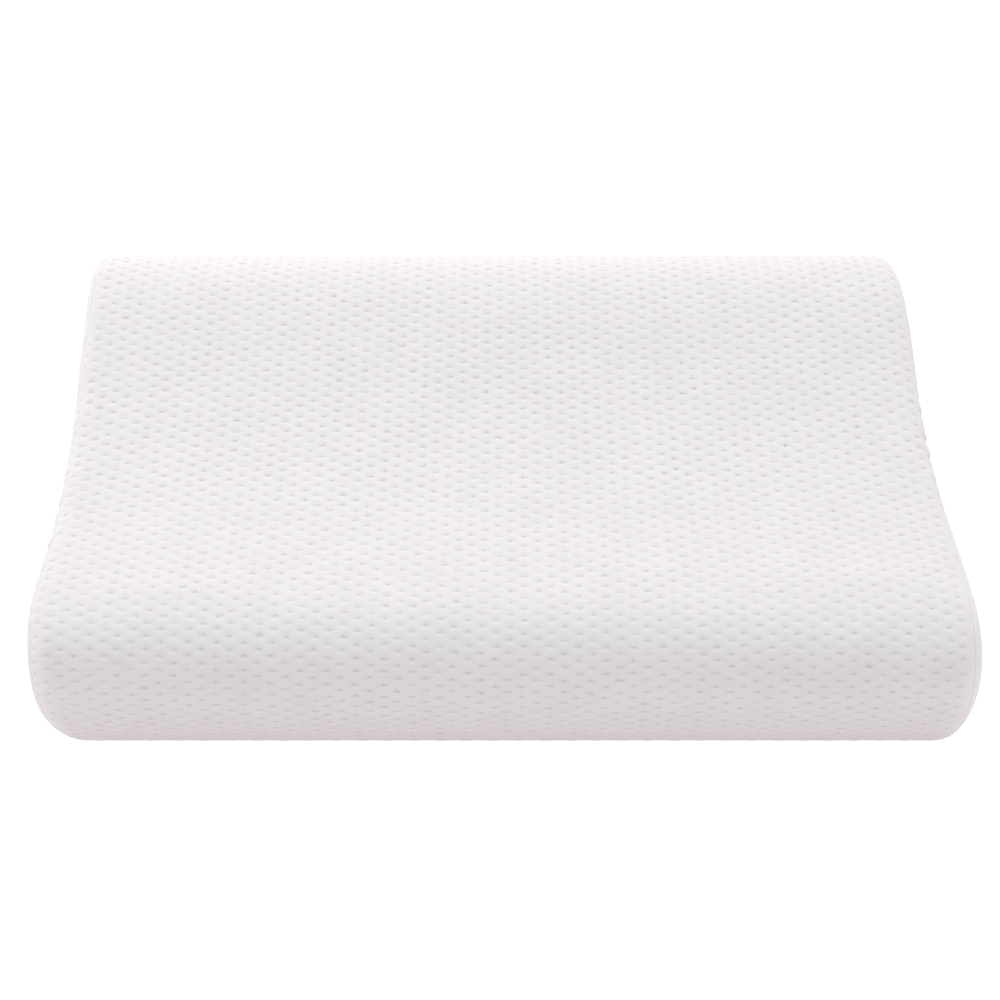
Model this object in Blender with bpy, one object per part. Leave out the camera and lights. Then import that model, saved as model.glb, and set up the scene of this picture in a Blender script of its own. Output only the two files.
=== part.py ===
"""Contour memory foam pillow in its sewn knit cover.

Lengths are in millimetres below and become metres when the meshes are made. +X runs along the
pillow's width, +Y from the high lobe under the neck to the low lobe at the back, and +Z up.
The origin is on the surface that the pillow lies on, under the middle of it.

Three pieces: the filled body with its wrap panel, and an end panel sewn on at each end. Every
surface comes from one side profile. A section is a closed loop of points round that profile, and
it shrinks inwards over the rounded end edges. The body is stepped at each seam, and the end
panel fills that step.
"""

import math

import bmesh
import bpy
import numpy as np

MM = 0.001

WIDTH = 500.0
END_CROWN = 1.5
END_REACH = WIDTH / 2 - END_CROWN
PANEL_THICKNESS = 2.5
PANEL_GAP = 0.3

# The side profile from the back of the underside, over the top, to the front of the underside.
# round_out and round_down are the end edge's rounding along X and into the profile. left_in and
# right_in are how far the sewn ends are drawn in there, which differs a little as on any filled
# cover. seam_deg is where the seam runs on that rounding: 0 is its start on the wrap panel and
# 90 the end face.
PROFILE_COLUMNS = (
    "place", "y", "z", "round_out", "round_down", "left_in", "right_in", "seam_deg",
)
PROFILE = (
    ("floor back", 124.6, 0.0, 13.0, 12.0, 0.8, 4.2, 36.0),
    ("low back corner", 148.0, 9.7, 13.0, 13.0, 0.2, 4.4, 38.0),
    ("back nose", 157.9, 34.3, 13.0, 13.0, -0.5, 4.6, 38.0),
    ("back shoulder", 149.7, 59.8, 12.0, 13.0, -0.7, 4.5, 36.0),
    ("above shoulder", 133.0, 72.1, 12.0, 13.0, -0.6, 4.0, 34.0),
    ("low crest", 104.3, 76.3, 13.0, 13.0, -0.3, 3.9, 33.0),
    ("dip back", 60.2, 73.3, 13.0, 13.0, 0.8, 4.1, 33.0),
    ("dip", 28.8, 72.0, 13.0, 13.0, 2.2, 4.2, 33.0),
    ("dip front", -13.1, 74.0, 13.0, 13.0, 3.5, 3.4, 33.0),
    ("rise", -54.4, 80.5, 13.0, 13.0, 4.5, 1.5, 32.0),
    ("high rise", -95.0, 91.0, 14.0, 13.0, 4.8, 0.4, 32.0),
    ("high crest", -115.7, 94.1, 15.0, 14.0, 4.6, 0.0, 34.0),
    ("front shoulder", -135.6, 89.2, 17.0, 16.0, 4.5, 0.0, 40.0),
    ("above nose", -150.7, 75.0, 18.0, 17.0, 4.5, 0.0, 44.0),
    ("front nose", -157.9, 48.5, 19.0, 17.0, 4.6, 0.2, 46.0),
    ("below nose", -154.5, 24.1, 20.0, 17.0, 4.6, 0.4, 46.0),
    ("low front corner", -146.3, 7.0, 20.0, 16.0, 4.2, 0.4, 46.0),
    ("floor front", -129.1, 0.0, 19.0, 15.0, 4.0, 0.4, 44.0),
)

# The seam is a shallow groove, which both panels turn down into.
SEAM_DEPTH = 0.8
SEAM_HALF_WIDTH = 1.8

# How finely the curves are divided into flat faces.
STEPS_PER_STATION = 40
STATIONS_PER_HALF = 36
WRAP_STEPS = 4
ROUNDING_STEPS = 3
FACE_STEPS = 5

WRAP_COLOUR = (0.86, 0.85, 0.85, 1.0)
PANEL_COLOUR = (0.90, 0.89, 0.89, 1.0)
KNIT_ROUGHNESS = 0.9
SHARP_ANGLE = math.radians(35)


def clear_scene():
    for old in list(bpy.data.objects):
        bpy.data.objects.remove(old, do_unlink=True)


def spline_slopes(places, values, start_slope, end_slope):
    """The slopes at the stations of the smooth cubic curve with these slopes at its ends."""
    count = len(places)
    gaps = np.diff(places)
    matrix = np.zeros((count, count))
    right = np.zeros(count)
    matrix[0, 0] = matrix[-1, -1] = 1.0
    right[0], right[-1] = start_slope, end_slope
    for i in range(1, count - 1):
        matrix[i, i - 1] = gaps[i]
        matrix[i, i] = 2 * (gaps[i - 1] + gaps[i])
        matrix[i, i + 1] = gaps[i - 1]
        right[i] = 3 * (
            gaps[i] * (values[i] - values[i - 1]) / gaps[i - 1]
            + gaps[i - 1] * (values[i + 1] - values[i]) / gaps[i]
        )
    return np.linalg.solve(matrix, right)


def read_spline(places, values, slopes, wanted):
    """The cubic curve's values at the wanted places."""
    at = np.clip(np.searchsorted(places, wanted, side="right") - 1, 0, len(places) - 2)
    gap = places[at + 1] - places[at]
    t = (wanted - places[at]) / gap
    return (
        (1 + 2 * t) * (1 - t) ** 2 * values[at]
        + t * (1 - t) ** 2 * gap * slopes[at]
        + t**2 * (3 - 2 * t) * values[at + 1]
        + t**2 * (t - 1) * gap * slopes[at + 1]
    )


def dense_profile():
    """The whole profile as closely spaced points, each with the table's other values."""
    table = {
        name: np.array([row[i] for row in PROFILE])
        for i, name in enumerate(PROFILE_COLUMNS)
        if name != "place"
    }
    chords = np.hypot(np.diff(table["y"]), np.diff(table["z"]))
    places = np.concatenate([[0.0], np.cumsum(chords)])
    wanted = np.linspace(0.0, places[-1], STEPS_PER_STATION * (len(PROFILE) - 1) + 1)
    # The curve leaves the underside and comes back to it level, along +Y both times.
    ends = {"y": (1.0, 1.0), "z": (0.0, 0.0)}
    dense = {}
    for name, values in table.items():
        start_slope, end_slope = ends.get(name, (0.0, 0.0))
        slopes = spline_slopes(places, values, start_slope, end_slope)
        dense[name] = read_spline(places, values, slopes, wanted)
    dense["z"] = np.maximum(dense["z"], 0.0)
    dense["y"] = dense["y"] - (dense["y"].max() + dense["y"].min()) / 2
    return dense


def half_profile(dense, y, upper):
    """The values at each y of the upper or the lower half, between the two noses."""
    back, front = np.argmax(dense["y"]), np.argmin(dense["y"])
    if upper:
        run = np.arange(back, front + 1)
    else:
        # The lower half runs from the front nose down, over the underside and up at the back.
        run = np.concatenate([np.arange(front, len(dense["y"])), np.arange(0, back + 1)])
    order = run[np.argsort(dense["y"][run], kind="stable")]
    return {name: np.interp(y, dense["y"][order], dense[name][order]) for name in dense}


def section_stations():
    """The loop of stations: back nose, the top to the front nose, and back along the underside."""
    dense = dense_profile()
    reach = dense["y"].max()
    y_down = reach * np.cos(np.linspace(0.0, math.pi, STATIONS_PER_HALF + 1))
    top = half_profile(dense, y_down, upper=True)
    low = half_profile(dense, y_down, upper=False)
    loop = {name: np.concatenate([top[name], low[name][-2:0:-1]]) for name in top}
    ahead = np.stack([np.roll(loop["y"], -1), np.roll(loop["z"], -1)], axis=1)
    behind = np.stack([np.roll(loop["y"], 1), np.roll(loop["z"], 1)], axis=1)
    run = ahead - behind
    run /= np.linalg.norm(run, axis=1, keepdims=True)
    # The loop turns from the back over the top to the front, so its inner side is on its left.
    loop["in_y"] = -run[:, 1]
    loop["in_z"] = run[:, 0]
    return loop


def end_loop(loop, side, angle, sunk):
    """The loop of points at one angle of the end's rounding, sunk under the outer surface."""
    drawn_in = loop["right_in"] if side > 0 else loop["left_in"]
    out = (loop["round_out"] - sunk) * np.sin(angle)
    down = loop["round_down"] - (loop["round_down"] - sunk) * np.cos(angle)
    x = END_REACH - drawn_in - loop["round_out"] + out
    return np.stack(
        [side * x, loop["y"] + loop["in_y"] * down, loop["z"] + loop["in_z"] * down], axis=1
    )


def add_loop(mesh, points):
    return [mesh.verts.new(point * MM) for point in points]


def bridge(mesh, one, other):
    """A ring of four-sided faces between two loops with the same number of points."""
    for i in range(len(one)):
        after = (i + 1) % len(one)
        mesh.faces.new((one[i], one[after], other[after], other[i]))


def crowned_face(mesh, rim, side, rim_points):
    """Closes a loop with rungs from its upper to its lower half, bulged out in the middle."""
    half = len(rim) // 2
    heights = [
        np.linalg.norm(rim_points[i] - rim_points[-i]) for i in range(1, half)
    ]
    tallest = max(heights)
    rungs = [[rim[0]] * (FACE_STEPS + 1)]
    for i in range(1, half):
        upper, lower = rim_points[i], rim_points[-i]
        rung = [rim[i]]
        for step in range(1, FACE_STEPS):
            share = step / FACE_STEPS
            point = upper + (lower - upper) * share
            bulge = END_CROWN * heights[i - 1] / tallest * math.sin(math.pi * share)
            rung.append(mesh.verts.new((point + [side * bulge, 0.0, 0.0]) * MM))
        rung.append(rim[-i])
        rungs.append(rung)
    rungs.append([rim[half]] * (FACE_STEPS + 1))
    for rung, following in zip(rungs[:-1], rungs[1:]):
        for step in range(FACE_STEPS):
            corners = (rung[step], rung[step + 1], following[step + 1], following[step])
            mesh.faces.new(list(dict.fromkeys(corners)))


def rounding_loops(loop, side, start, end, sunk):
    """Loops at even angles of the end's rounding, from start to end."""
    shares = [i / ROUNDING_STEPS for i in range(ROUNDING_STEPS + 1)]
    return [end_loop(loop, side, start + (end - start) * share, sunk) for share in shares]


def bridge_all(mesh, rings):
    for one, other in zip(rings[:-1], rings[1:]):
        bridge(mesh, one, other)


def pillow_body(loop):
    """The filled body: wrap panel outside, and a step under each end panel."""
    mesh = bmesh.new()
    seam = np.radians(loop["seam_deg"])
    wrap_end = seam - SEAM_HALF_WIDTH / loop["round_out"]
    step_down = PANEL_THICKNESS + PANEL_GAP
    rim_points = {}
    rim = {}
    for side in (-1, 1):
        loops = rounding_loops(loop, side, 0.0, wrap_end, 0.0)
        loops.append(end_loop(loop, side, seam, SEAM_DEPTH))
        loops += rounding_loops(loop, side, seam, math.pi / 2, step_down)
        rings = [add_loop(mesh, points) for points in loops]
        bridge_all(mesh, rings)
        crowned_face(mesh, rings[-1], side, loops[-1])
        rim_points[side], rim[side] = loops[0], rings[0]
    along = [
        add_loop(mesh, rim_points[-1] + (rim_points[1] - rim_points[-1]) * i / WRAP_STEPS)
        for i in range(1, WRAP_STEPS)
    ]
    bridge_all(mesh, [rim[-1], *along, rim[1]])
    return finish("pillow_body", mesh, WRAP_COLOUR)


def end_panel(name, loop, side):
    """One end panel: a crowned sheet whose rim turns in at the seam."""
    mesh = bmesh.new()
    seam = np.radians(loop["seam_deg"])
    rim_start = seam + PANEL_GAP / loop["round_out"]
    outer_start = seam + SEAM_HALF_WIDTH / loop["round_out"]
    outer = [end_loop(loop, side, rim_start, SEAM_DEPTH)]
    outer += rounding_loops(loop, side, outer_start, math.pi / 2, 0.0)
    inner = rounding_loops(loop, side, rim_start, math.pi / 2, PANEL_THICKNESS)
    outer_rings = [add_loop(mesh, points) for points in outer]
    inner_rings = [add_loop(mesh, points) for points in inner]
    bridge(mesh, inner_rings[0], outer_rings[0])
    bridge_all(mesh, outer_rings)
    bridge_all(mesh, inner_rings)
    crowned_face(mesh, outer_rings[-1], side, outer[-1])
    crowned_face(mesh, inner_rings[-1], side, inner[-1])
    return finish(name, mesh, PANEL_COLOUR)


def knit(name, colour):
    material = bpy.data.materials.new(name)
    material.use_nodes = True
    shader = material.node_tree.nodes["Principled BSDF"]
    shader.inputs["Base Color"].default_value = colour
    shader.inputs["Roughness"].default_value = KNIT_ROUGHNESS
    shader.inputs["Metallic"].default_value = 0.0
    material.diffuse_color = colour
    return material


def finish(name, mesh, colour):
    """Turns every face outwards and makes the smooth-shaded object with its own material."""
    bmesh.ops.recalc_face_normals(mesh, faces=mesh.faces)
    data = bpy.data.meshes.new(name)
    mesh.to_mesh(data)
    mesh.free()
    data.shade_smooth()
    data.set_sharp_from_angle(angle=SHARP_ANGLE)
    data.materials.append(knit(name, colour))
    obj = bpy.data.objects.new(name, data)
    bpy.context.scene.collection.objects.link(obj)
    return obj


def main():
    clear_scene()
    loop = section_stations()
    pillow_body(loop)
    end_panel("end_panel_left", loop, side=-1)
    end_panel("end_panel_right", loop, side=1)


main()
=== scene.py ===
import math
from functools import partial
import bpy
import numpy as np
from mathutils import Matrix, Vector


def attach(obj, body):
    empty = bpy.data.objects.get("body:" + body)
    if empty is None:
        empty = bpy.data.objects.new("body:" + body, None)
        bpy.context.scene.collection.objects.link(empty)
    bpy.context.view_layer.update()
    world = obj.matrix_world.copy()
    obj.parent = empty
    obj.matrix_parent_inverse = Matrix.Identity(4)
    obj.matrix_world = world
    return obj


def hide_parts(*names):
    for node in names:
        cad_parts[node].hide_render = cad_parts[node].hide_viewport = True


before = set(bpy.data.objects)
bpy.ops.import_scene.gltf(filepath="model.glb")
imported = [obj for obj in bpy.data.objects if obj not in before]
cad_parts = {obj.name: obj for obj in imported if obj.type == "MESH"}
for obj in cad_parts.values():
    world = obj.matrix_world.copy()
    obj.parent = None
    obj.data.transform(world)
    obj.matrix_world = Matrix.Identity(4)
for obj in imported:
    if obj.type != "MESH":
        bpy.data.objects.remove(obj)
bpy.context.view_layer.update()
mm = 0.001


def addObject(name, data):
    obj = bpy.data.objects.new(name, data)
    bpy.context.scene.collection.objects.link(obj)
    return obj


# The camera stands in front of the high lobe, above it, and looks down on the pillow.
cameraView = {
    "place": (0.0, -0.453, 0.7845),  # metres
    "degreesDown": 59.5,  # below the horizon
    "lens": 54.0,
    "sensor": 36.0,
}


def makeCamera():
    data = bpy.data.cameras.new("pillowCamera")
    data.lens = cameraView["lens"]
    data.sensor_width = cameraView["sensor"]
    camera = addObject("pillowCamera", data)
    camera.location = cameraView["place"]
    camera.rotation_euler = (math.radians(90.0 - cameraView["degreesDown"]), 0.0, 0.0)
    bpy.context.scene.camera = camera


makeCamera()
print("camera placed")

# The side profile of the filled pillow in mm, from the back of the underside over the top to the
# front of the underside. At the left and the right end, round is the end edge's rounding along X,
# down the same into the profile and drawn how far the sewn end is drawn in, and seam says in degrees
# where the seam runs on that rounding: 0 is its start on the wrap and 90 the end face.
profileColumns = (
    "y", "z", "roundLeft", "roundRight", "downLeft", "downRight",
    "drawnLeft", "drawnRight", "seamLeft", "seamRight",
)
profileRows = {
    "floor back": (124.6, 0.0, 13.0, 13.0, 12.0, 12.0, 0.8, 4.2, 38.0, 38.0),
    "low back corner": (148.0, 9.7, 13.0, 13.0, 13.0, 13.0, 0.2, 4.4, 38.0, 38.0),
    "back nose": (157.9, 34.3, 11.0, 14.0, 11.0, 14.0, -0.5, 4.6, 38.0, 39.0),
    "back shoulder": (149.7, 59.8, 9.0, 14.0, 9.5, 16.0, -0.7, 4.5, 37.0, 40.0),
    "above shoulder": (133.0, 72.1, 9.5, 14.0, 10.0, 16.0, -0.6, 4.2, 35.0, 40.0),
    "low crest": (104.3, 76.3, 13.0, 13.0, 13.0, 14.0, -0.3, 3.8, 36.0, 42.0),
    "dip back": (60.2, 73.3, 13.0, 13.0, 13.0, 13.0, 0.8, 3.9, 47.0, 55.0),
    "dip": (28.8, 72.0, 13.0, 13.0, 13.0, 13.0, 2.2, 4.2, 56.0, 61.0),
    "dip front": (-13.1, 74.0, 13.0, 13.0, 13.0, 13.0, 3.3, 3.4, 59.0, 53.0),
    "rise": (-54.4, 80.5, 13.0, 13.0, 13.0, 13.0, 3.8, 1.3, 58.0, 41.0),
    "high rise": (-95.0, 91.0, 13.0, 14.0, 12.0, 13.0, 3.6, 0.2, 53.0, 37.0),
    "high crest": (-115.7, 94.1, 14.0, 15.0, 13.0, 14.0, 4.2, 0.0, 52.0, 36.0),
    "front shoulder": (-135.6, 89.2, 17.0, 17.0, 16.0, 16.0, 4.7, -0.3, 52.0, 37.0),
    "above nose": (-150.7, 75.0, 18.0, 18.0, 17.0, 17.0, 5.0, -0.6, 51.0, 37.0),
    "front nose": (-157.9, 48.5, 19.0, 17.0, 17.0, 15.0, 5.1, -0.2, 49.0, 37.0),
    "below nose": (-154.5, 24.1, 20.0, 14.0, 17.0, 11.0, 4.8, 0.2, 47.0, 38.0),
    "low front corner": (-146.3, 7.0, 20.0, 12.0, 16.0, 9.0, 4.2, 0.2, 46.0, 39.0),
    "floor front": (-129.1, 0.0, 19.0, 12.0, 15.0, 9.0, 4.0, 0.4, 44.0, 39.0),
}
pillow = {
    "endReach": 248.5,  # half the width, less the end face's crown
    "endCrown": 1.8,  # how far the filled end bulges out in its middle
    "crownFade": 50.0,  # the bulge dies out over this before the face's front and back
    "seamDepth": 0.45,  # both panels turn down into the seam
    "seamHalfWidth": 1.5,
    "grooveRings": (0.62, 0.3, 0.1, 0.0),  # rings down into the seam, as shares of that width
    "floorFade": 8.0,  # swelling and puckers come in over this height above the floor
    "panelThickness": 2.5,
    "underPanel": 3.2,  # how far the filled body lies under the end panel's face
    "profilePoints": 1701,  # along the curved part
    "floorPoints": 301,  # along the underside
    "rimPoints": 1200,  # round an end face
    "facePoints": 161,  # from its front to its back
}
quarterTurn = math.pi / 2.0


def smoothStep(values, start, end):
    # 3 x squared - 2 x cubed, for x going from 0 at start to 1 at end
    share = np.clip((values - start) / (end - start), 0.0, 1.0)
    return share * share * (3.0 - 2.0 * share)


def bellCurve(values, middle, width):
    # e to the power of minus the square of the distance from the middle, counted in widths
    return np.exp(-(((values - middle) / width) ** 2))


def freeOfFloor(z):
    # nothing where the cloth lies on the floor, and one a little above it
    return smoothStep(z, 0.0, pillow["floorFade"])


def splineSlopes(places, values, startSlope, endSlope):
    # the slopes that make a cubic curve through the stations bend evenly at each of them
    gaps = np.diff(places)
    steps = np.diff(values) / gaps
    matrix = np.diag(np.concatenate([[1.0], 2.0 * (gaps[:-1] + gaps[1:]), [1.0]]))
    matrix += np.diag(np.concatenate([[0.0], gaps[:-1]]), 1)
    matrix += np.diag(np.concatenate([gaps[1:], [0.0]]), -1)
    right = 3.0 * (gaps[1:] * steps[:-1] + gaps[:-1] * steps[1:])
    return np.linalg.solve(matrix, np.concatenate([[startSlope], right, [endSlope]]))


def readSpline(places, values, slopes, wanted):
    # the Hermite form: each station's value and slope, weighted by cubics of the share between two
    at = np.clip(np.searchsorted(places, wanted, side="right") - 1, 0, len(places) - 2)
    gap = places[at + 1] - places[at]
    share = (wanted - places[at]) / gap
    rest = 1.0 - share
    return (
        (1.0 + 2.0 * share) * rest**2 * values[at]
        + share * rest**2 * gap * slopes[at]
        + share**2 * (3.0 - 2.0 * share) * values[at + 1]
        - share**2 * rest * gap * slopes[at + 1]
    )


def closedProfile():
    # the stations' smooth curve, closed by a straight underside; place is the way along it in mm
    table = {
        name: np.array([row[n] for row in profileRows.values()])
        for n, name in enumerate(profileColumns)
    }
    chords = np.hypot(np.diff(table["y"]), np.diff(table["z"]))
    places = np.concatenate([[0.0], np.cumsum(chords)])
    wanted = np.linspace(0.0, places[-1], pillow["profilePoints"])
    alongFloor = np.linspace(0.0, 1.0, pillow["floorPoints"])[1:]
    loop = {}
    for name, values in table.items():
        level = 1.0 if name == "y" else 0.0
        curve = readSpline(places, values, splineSlopes(places, values, level, level), wanted)
        loop[name] = np.concatenate([curve, curve[-1] + (curve[0] - curve[-1]) * alongFloor])
    loop["z"] = np.maximum(loop["z"], 0.0)
    loop["y"] -= (loop["y"].max() + loop["y"].min()) / 2.0
    steps = np.hypot(np.diff(loop["y"]), np.diff(loop["z"]))
    loop["place"] = np.concatenate([[0.0], np.cumsum(steps)])
    loop["topEnd"] = loop["place"][len(wanted) - 1]
    # the inward direction is the run of the curve turned a quarter to its left
    runY = np.gradient(loop["y"], loop["place"])
    runZ = np.gradient(loop["z"], loop["place"])
    size = np.hypot(runY, runZ)
    loop["inY"] = -runZ / size
    loop["inZ"] = runY / size
    return loop


loop = closedProfile()
loopLength = loop["place"][-1]


def readLoop(name, around):
    return np.interp(around % loopLength, loop["place"], loop[name])


def readSide(name, around, side):
    return np.where(side > 0, readLoop(name + "Right", around), readLoop(name + "Left", around))


def sideValues(around, side):
    # the end edge's rounding at that side, where the flat run across ends, and the seam's angle
    rounding = readSide("round", around, side)
    flatEnd = pillow["endReach"] - readSide("drawn", around, side) - rounding
    return rounding, flatEnd, np.radians(readSide("seam", around, side))


def seamAcross(around, side):
    # how far across the seam lies: the flat run plus the arc up to the seam's angle
    rounding, flatEnd, seam = sideValues(around, side)
    return side * (flatEnd + rounding * seam)


def coverPoint(across, around, sunk=0.0):
    # A point of the cover, and its outward direction. across and around are mm along the cloth.
    # Past the flat run the section turns in on an ellipse: out by the sine of the arc's angle and
    # into the profile by one minus its cosine.
    side = np.where(across < 0, -1.0, 1.0)
    rounding, flatEnd, _ = sideValues(around, side)
    angle = np.clip((np.abs(across) - flatEnd) / rounding, 0.0, quarterTurn)
    roundDown = readSide("down", around, side)
    down = roundDown - (roundDown - sunk) * np.cos(angle)
    x = side * (np.minimum(np.abs(across), flatEnd) + (rounding - sunk) * np.sin(angle))
    inY = readLoop("inY", around)
    inZ = readLoop("inZ", around)
    point = np.stack([x, readLoop("y", around) + inY * down, readLoop("z", around) + inZ * down], -1)
    outward = np.stack([side * np.sin(angle), -inY * np.cos(angle), -inZ * np.cos(angle)], -1)
    return point, outward


def roundingRing(around, side, angle, sunk=0.0):
    # the cover's points at one angle of the end edge's rounding
    rounding, flatEnd, _ = sideValues(around, side)
    return coverPoint(side * (flatEnd + rounding * angle), around, sunk)


def faceEdges(side, sunk=0.0):
    # the end face's lower and upper edge as x and z at each y, and its middle (y, z)
    around = np.linspace(0.0, loopLength, pillow["rimPoints"], endpoint=False)
    rim, _ = roundingRing(around, side, quarterTurn, sunk)
    y = np.linspace(rim[:, 1].min(), rim[:, 1].max(), pillow["facePoints"])
    turns = sorted((np.argmax(rim[:, 1]), np.argmin(rim[:, 1])))
    halves = rim[turns[0] : turns[1] + 1], np.concatenate([rim[turns[1] :], rim[: turns[0] + 1]])
    edges = []
    for half in sorted(halves, key=lambda points: points[:, 2].mean()):
        order = np.argsort(half[:, 1])
        edges.append([np.interp(y, half[order, 1], half[order, axis]) for axis in (0, 2)])
    return y, edges[0], edges[1], (rim[:, 1:].max(axis=0) + rim[:, 1:].min(axis=0)) / 2.0


def faceLevel(y, z, side, sunk=0.0):
    # The end face's x. It runs evenly from its lower to its upper edge and bulges by the crown times
    # 4 share (1 - share) to the power one and a half, share being how far up the face the point
    # lies. The bulge dies out before the face's front and back.
    yGrid, lower, upper, _ = faceEdges(side, sunk)
    xLow, zLow = (np.interp(y, yGrid, values) for values in lower)
    xHigh, zHigh = (np.interp(y, yGrid, values) for values in upper)
    share = np.clip((z - zLow) / np.maximum(zHigh - zLow, 1.0), 0.0, 1.0)
    toEnd = np.minimum(y - yGrid[0], yGrid[-1] - y)
    fade = smoothStep(toEnd, 0.0, pillow["crownFade"])
    bulge = pillow["endCrown"] * (4.0 * share * (1.0 - share)) ** 1.5 * fade
    return xLow + (xHigh - xLow) * smoothStep(share, 0.0, 1.0) + side * bulge


def faceRing(around, side, share, sunk=0.0):
    # The end face's rim drawn towards its middle, to that share of its size, and its outward
    # direction. What the rim itself lies off the face dies out inwards by the sixth power.
    rim, _ = roundingRing(around, side, quarterTurn, sunk)
    middle = faceEdges(side, sunk)[3]
    point = rim.copy()
    point[..., 1:] = middle + (rim[..., 1:] - middle) * share
    own = rim[..., 0] - faceLevel(rim[..., 1], rim[..., 2], side, sunk)
    point[..., 0] = faceLevel(point[..., 1], point[..., 2], side, sunk) + own * share**6
    outward = np.zeros_like(point)
    outward[..., 0] = side
    return point, outward


def faceMiddle(side, sunk=0.0):
    # the end face's middle point, on its bulge
    middle = faceEdges(side, sunk)[3]
    return np.array([faceLevel(middle[0], middle[1], side, sunk), *middle])


# The quilted double knit: rows of dimples, each row offset by half from the next. A column is a
# line of dimples from back to front, and a row is half a dimple spacing along that line. Sizes are
# in mm; how far rows and columns wander is in row and column spacings.
quilt = {
    "columnPitch": 7.05,
    "rowPitch": 3.49,
    "rowsRound": 206,  # round the whole pillow, an even count so that the pattern closes
    "rowZeroY": -75.3,  # where row 0 crosses the top
    "columnRows": (-66.0, 5.0, 38.0),  # column 0 leans a little: its place across at these rows
    "columnZero": (13.1, 11.6, 9.3),
    "columns": (-37, 33),
    "columnReach": 42,  # a place is looked up among this many columns on each side
    "columnSpread": 0.13,  # how far on the columns are in the middle
    "columnClosing": 0.35,  # how far they fall back from there at the closing column
    "closingColumn": 34.0,
    "rowTilt": 0.36,
    "mostBow": 0.8,
    "mostEndSag": 1.2,
    "frontSag": (0.32, -1.0, 13.0),  # the most, the middle column and the width in columns
    "frontSagRows": (-6.0, 8.0),  # it comes in between these rows
    "wanderStarts": (-84.0, -68.0),  # the rows begin to wander between these, at the back
    "wanderEnds": (24.0, 46.0),  # and cease between these, at the front
    "cellsPerColumn": 4,
    "seamCells": 8,  # next to a seam the cells are fitted to it
    "pitDepth": 0.42,
    "pitWide": 1.6,
    "pitTall": 0.95,
    "pitMoves": 0.5,  # the range over which a dimple's place varies
    "wideVaries": 0.3,  # the same for its width and depth, as shares of them
    "depthVaries": 0.6,
    "puff": 0.16,  # how far the cloth puffs up between the dimples
    "lipFade": (-0.5, 3.0),  # the quilting comes in between these distances from the seam's lip
    "floorFade": (0.3, 4.0),  # and between these heights above the floor
    "markFade": (0.2, 1.8),  # the dimples' marks come in between these distances from the lip
    "drawColumns": 128,  # columns of random draws, more than the quilt has
    "seed": 11,
}
# The forms in which the rows wander: the most, the middle column and the width in columns, then the
# middle row and the width in rows.
rowForms = {
    "bow": (0.55, -4.0, 19.0, -62.0, 12.0),
    "rightSwell": (0.40, 0.0, 28.0, -15.0, 11.0),
    "backSag": (0.40, 0.0, 11.0, -45.0, 14.0),
    "endSag": (0.60, -1.5, 27.5, -17.0, 13.0),
}


def rowWander(column, row):
    # The rows aren't quite straight: they run down to the right by a share of a row, sag in the
    # middle at the back and at the front, swell to the right above the dip, and sag at both ends in
    # the dip. Each form is a bell curve of the row times a curve of the column: the bow a parabola,
    # the swell a slope, the back's sag a bell curve and the ends' sag a fifth power. All of it dies
    # out under the pillow.
    size, aside = {}, {}
    for name, (most, middle, width, middleRow, rowWidth) in rowForms.items():
        size[name] = most * bellCurve(row, middleRow, rowWidth)
        aside[name] = (column - middle) / width
    tilt = quilt["rowTilt"] * np.sin(quarterTurn * column / quilt["columns"][1])
    bow = np.maximum(size["bow"] * (1.0 - aside["bow"] ** 2), -quilt["mostBow"])
    rightSwell = size["rightSwell"] * aside["rightSwell"]
    backSag = size["backSag"] * np.exp(-(aside["backSag"] ** 2))
    endSag = np.minimum(size["endSag"] * np.abs(aside["endSag"]) ** 5, quilt["mostEndSag"])
    most, middle, width = quilt["frontSag"]
    frontSag = most * bellCurve(column, middle, width) * smoothStep(row, *quilt["frontSagRows"])
    alive = smoothStep(row, *quilt["wanderStarts"]) * (1.0 - smoothStep(row, *quilt["wanderEnds"]))
    return (tilt + bow + rightSwell + backSag + frontSag + endSag) * alive


def columnWander(column):
    # the columns spread a little in the middle and close up at the sides, by a parabola
    return quilt["columnSpread"] - quilt["columnClosing"] * (column / quilt["closingColumn"]) ** 2


def acrossOf(column, row):
    # column 0's own lean, and the spacing times the column where it has wandered to
    zero = np.interp(row, quilt["columnRows"], quilt["columnZero"])
    return zero + quilt["columnPitch"] * (column + columnWander(column))


def columnOf(across, row):
    # acrossOf turned round, by reading its own curve the other way in steps of a twentieth column
    zero = np.interp(row, quilt["columnRows"], quilt["columnZero"])
    reach = quilt["columnReach"]
    columns = np.linspace(-reach, reach, 2 * reach * 20 + 1)
    return np.interp((across - zero) / quilt["columnPitch"], columns + columnWander(columns), columns)


def rowStations():
    # Row 0's place on the profile, and the rows at which the curved part starts and ends. The
    # underside takes what is left of the count, so its rows are a hair closer.
    back, front = np.argmax(loop["y"]), np.argmin(loop["y"])
    top = slice(back, front + 1)
    zeroPlace = np.interp(-quilt["rowZeroY"], -loop["y"][top], loop["place"][top])
    first = -zeroPlace / quilt["rowPitch"]
    last = (loop["topEnd"] - zeroPlace) / quilt["rowPitch"]
    return first, last


def aroundOf(row):
    # rows are even along the curved part and, a little closer, along the underside
    first, last = rowStations()
    rows = (last - quilt["rowsRound"], first, last, first + quilt["rowsRound"])
    places = (loop["topEnd"] - loopLength, 0.0, loop["topEnd"], loopLength)
    return np.interp(row, rows, places)


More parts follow.
